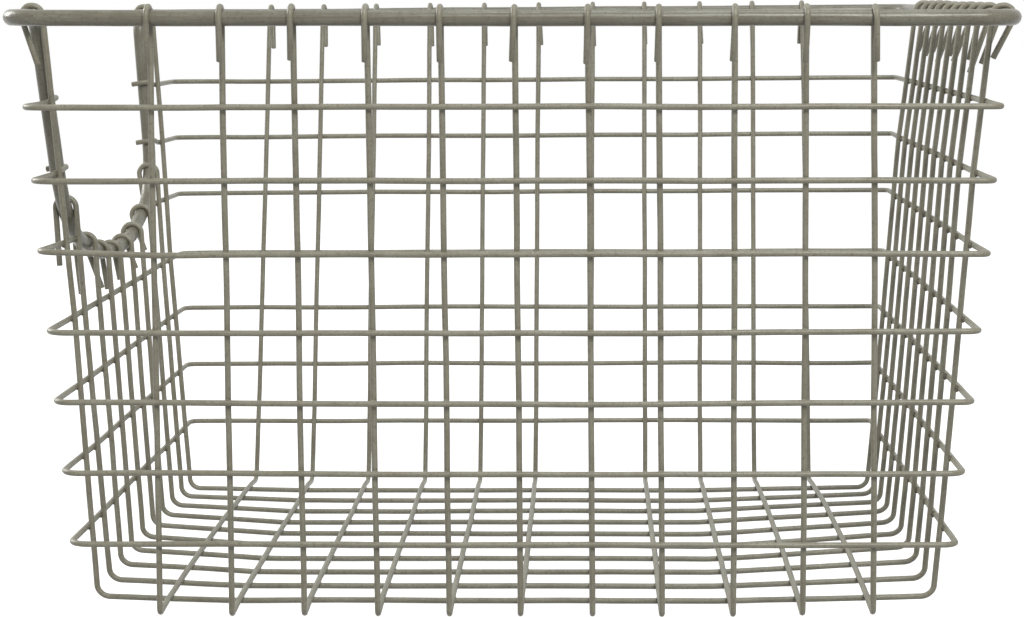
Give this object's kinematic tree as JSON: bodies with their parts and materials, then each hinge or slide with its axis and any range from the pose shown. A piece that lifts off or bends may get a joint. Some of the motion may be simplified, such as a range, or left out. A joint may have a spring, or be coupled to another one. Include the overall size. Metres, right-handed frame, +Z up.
{
  "type": "wire locker basket",
  "caption": "Open rectangular basket of welded steel wire with a thick rod rim that dips into a finger grip at one end.",
  "frame": {"origin": "centre of the footprint, on the surface that the basket rests on", "axes": "+X from the finger grip's end to the other end, +Y from front to back, +Z up"},
  "size_m": [0.337, 0.3092, 0.2095],
  "materials": {
    "rim_paint": "satin",
    "wire_paint": "satin"
  },
  "bodies": {
    "root": {"top_rim": "rim_paint", "ring_1": "wire_paint", "ring_2": "wire_paint", "ring_3": "wire_paint", "ring_4": "wire_paint", "ring_5": "wire_paint", "ring_6": "wire_paint", "ring_7": "wire_paint", "cross_wire_01": "wire_paint", "cross_wire_02": "wire_paint", "cross_wire_03": "wire_paint", "cross_wire_04": "wire_paint", "cross_wire_05": "wire_paint", "cross_wire_06": "wire_paint", "cross_wire_07": "wire_paint", "cross_wire_08": "wire_paint", "cross_wire_09": "wire_paint", "cross_wire_10": "wire_paint", "cross_wire_11": "wire_paint", "long_wire_01": "wire_paint", "long_wire_02": "wire_paint", "long_wire_03": "wire_paint", "long_wire_04": "wire_paint", "long_wire_05": "wire_paint", "long_wire_06": "wire_paint", "long_wire_07": "wire_paint", "long_wire_08": "wire_paint", "long_wire_09": "wire_paint", "long_wire_10": "wire_paint"}
  },
  "joints": []
}
